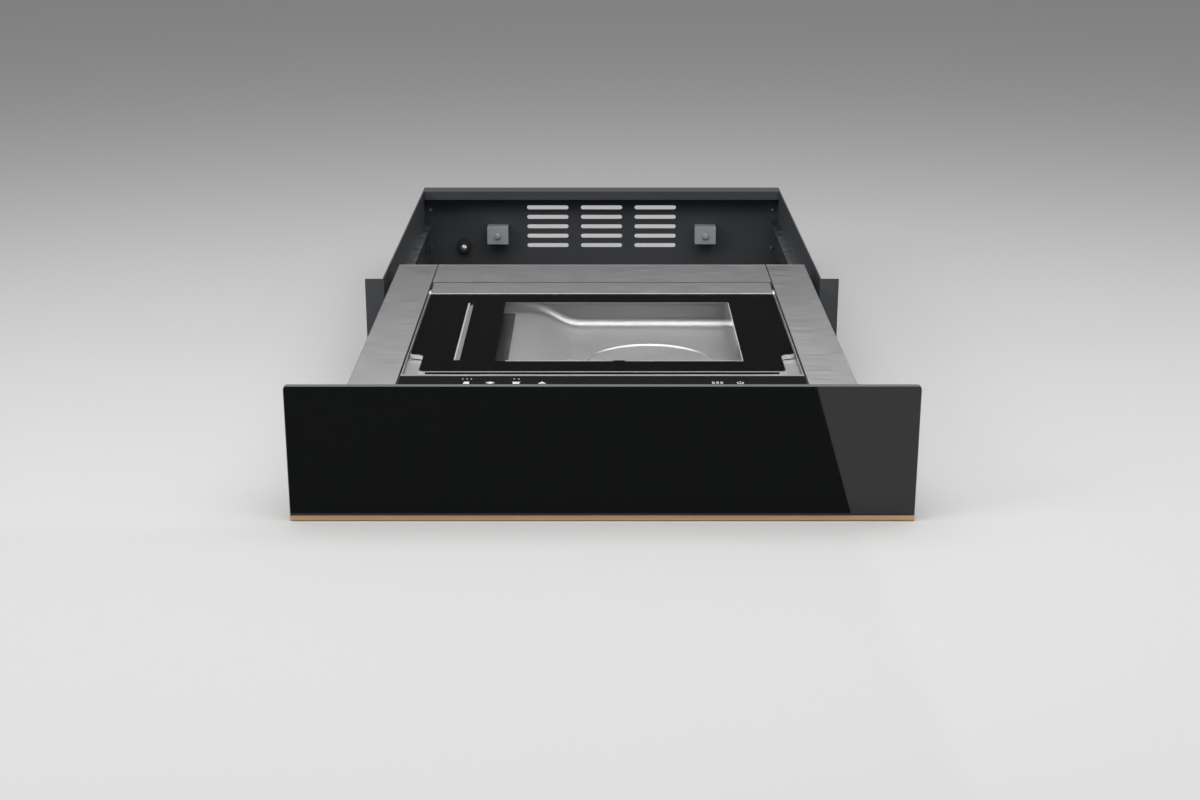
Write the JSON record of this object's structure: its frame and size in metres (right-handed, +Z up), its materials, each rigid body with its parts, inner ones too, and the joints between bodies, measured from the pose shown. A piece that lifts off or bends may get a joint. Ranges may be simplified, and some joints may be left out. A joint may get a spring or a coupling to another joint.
{
  "type": "vacuum sealing drawer",
  "caption": "Built-in drawer with a glass-lidded vacuum chamber and seal bar, pulled out of its sheet-metal housing on telescopic slides, with a black glass front.",
  "frame": {"origin": "middle of the housing's underside, on the floor of the niche", "axes": "+X to the right seen from the front, +Y back into the cabinet, +Z up; the drawer opens towards -Y"},
  "size_m": [0.597, 0.967, 0.136],
  "materials": {
    "black_glass": "black back-printed float glass, polished edges",
    "clear_glass": "clear toughened glass",
    "lid_glass": "black back-printed glass with a clear window",
    "copper_trim": "satin copper-coloured anodised strip",
    "brushed_steel": "brushed stainless steel, lines across the drawer",
    "chamber_steel": "pressed stainless steel, fine satin",
    "zinc_sheet": "galvanised sheet",
    "slate_paint": "dark slate powder coat",
    "slide_steel": "zinc-plated steel",
    "screw_steel": "zinc-plated screws",
    "black_plastic": "moulded black plastic",
    "grey_plastic": "moulded grey plastic",
    "gasket_rubber": "black silicone rubber",
    "silicone": "light silicone",
    "aluminium": "extruded aluminium",
    "ptfe_band": "glass-cloth PTFE tape over a heating strip",
    "cast_aluminium": "die-cast aluminium",
    "motor_paint": "black-enamelled motor shell",
    "carbon": "carbon vane",
    "circuit_board": "green circuit board with parts",
    "transformer_iron": "laminated iron core with a taped coil",
    "spring_steel": "spring wire"
  },
  "bodies": {
    "housing": {"housing_base": "slate_paint", "housing_side_left": "slate_paint", "housing_side_right": "slate_paint", "housing_back": "slate_paint", "housing_screws": "screw_steel", "mains_gland": "black_plastic", "slide_outer_left": "slide_steel", "slide_outer_right": "slide_steel", "push_latch_bodies": "grey_plastic"},
    "slide_middle_left": {"slide_middle_left": "slide_steel"},
    "slide_middle_right": {"slide_middle_right": "slide_steel"},
    "ball_cages_outer": {"ball_cages_outer": "slide_steel"},
    "ball_cages_inner": {"ball_cages_inner": "slide_steel"},
    "latch_plunger_left": {"latch_plunger_left": "grey_plastic"},
    "latch_plunger_right": {"latch_plunger_right": "grey_plastic"},
    "drawer": {"slide_inner_left": "slide_steel", "slide_inner_right": "slide_steel", "drawer_chassis": "zinc_sheet", "chassis_screws": "screw_steel", "front_glass": "black_glass", "front_carrier": "slate_paint", "front_trim": "copper_trim", "side_trim_left": "brushed_steel", "side_trim_right": "brushed_steel", "deck_plate": "brushed_steel", "control_glass": "black_glass", "touch_board": "circuit_board", "chamber_basin": "chamber_steel", "chamber_gasket": "gasket_rubber", "seal_bar_cradle": "black_plastic", "seal_lift_cylinders": "aluminium", "hinge_trough": "zinc_sheet", "hinge_brackets": "zinc_sheet", "hinge_springs": "spring_steel", "rear_cover": "brushed_steel", "pump_body": "cast_aluminium", "pump_motor": "motor_paint", "pump_mounts": "gasket_rubber", "valve_block": "grey_plastic", "vacuum_hose": "silicone", "seal_transformer": "transformer_iron", "power_board": "circuit_board", "control_lead": "black_plastic", "fan_frame": "black_plastic", "lid_switch_body": "black_plastic"},
    "seal_bar": {"seal_bar": "aluminium", "seal_band": "ptfe_band", "seal_bar_pistons": "slide_steel"},
    "lid": {"lid_glass": "lid_glass", "lid_pane": "clear_glass", "lid_hinge_rail": "brushed_steel", "lid_hinge_pins": "slide_steel", "counter_bar": "aluminium", "counter_pad": "silicone"},
    "pump_shaft": {"pump_rotor": "slide_steel", "pump_vanes": "carbon", "pump_fan": "black_plastic"},
    "fan_rotor": {"fan_rotor": "black_plastic"},
    "vent_valve": {"valve_plunger": "slide_steel"},
    "lid_switch": {"lid_switch_plunger": "grey_plastic"}
  },
  "joints": [
    {"name": "drawer_slide", "type": "slide", "parent": "housing", "child": "drawer", "axis": [0, 1, 0], "range_m": [0, 0.4155]},
    {"name": "slide_middle_left_travel", "type": "slide", "parent": "housing", "child": "slide_middle_left", "axis": [0, 1, 0], "range_m": [0, 0.20775]},
    {"name": "slide_middle_right_travel", "type": "slide", "parent": "housing", "child": "slide_middle_right", "axis": [0, 1, 0], "range_m": [0, 0.20775]},
    {"name": "ball_cages_outer_travel", "type": "slide", "parent": "housing", "child": "ball_cages_outer", "axis": [0, 1, 0], "range_m": [0, 0.10387]},
    {"name": "ball_cages_inner_travel", "type": "slide", "parent": "housing", "child": "ball_cages_inner", "axis": [0, 1, 0], "range_m": [0, 0.31162]},
    {"name": "lid_hinge", "type": "hinge", "parent": "drawer", "child": "lid", "pos_m": [0, -0.295, 0.1135], "axis": [-1, 0, 0], "range_deg": [0, 70]},
    {"name": "seal_bar_lift", "type": "slide", "parent": "drawer", "child": "seal_bar", "axis": [0, 0, 1], "range_m": [0, 0.0055]},
    {"name": "pump_shaft_spin", "type": "hinge", "parent": "drawer", "child": "pump_shaft", "pos_m": [-0.1, -0.223, 0.05], "axis": [1, 0, 0], "continuous": true},
    {"name": "fan_spin", "type": "hinge", "parent": "drawer", "child": "fan_rotor", "pos_m": [0.17, -0.189, 0.052], "axis": [0, 1, 0], "continuous": true},
    {"name": "vent_valve_travel", "type": "slide", "parent": "drawer", "child": "vent_valve", "axis": [0, -1, 0], "range_m": [0, 0.003], "stiffness_N_per_m": 300, "springref_m": -0.003},
    {"name": "lid_switch_travel", "type": "slide", "parent": "drawer", "child": "lid_switch", "axis": [0, 0, 1], "range_m": [-0.0015, 0], "stiffness_N_per_m": 200, "springref_m": 0.002},
    {"name": "latch_left_travel", "type": "slide", "parent": "housing", "child": "latch_plunger_left", "axis": [0, 1, 0], "range_m": [0, 0.004], "stiffness_N_per_m": 400, "springref_m": -0.003},
    {"name": "latch_right_travel", "type": "slide", "parent": "housing", "child": "latch_plunger_right", "axis": [0, 1, 0], "range_m": [0, 0.004], "stiffness_N_per_m": 400, "springref_m": -0.003}
  ],
  "couplings": [
    {"joint": "slide_middle_left_travel", "follows": "drawer_slide", "ratio": 0.5},
    {"joint": "slide_middle_right_travel", "follows": "drawer_slide", "ratio": 0.5},
    {"joint": "ball_cages_outer_travel", "follows": "drawer_slide", "ratio": 0.25},
    {"joint": "ball_cages_inner_travel", "follows": "drawer_slide", "ratio": 0.75}
  ]
}
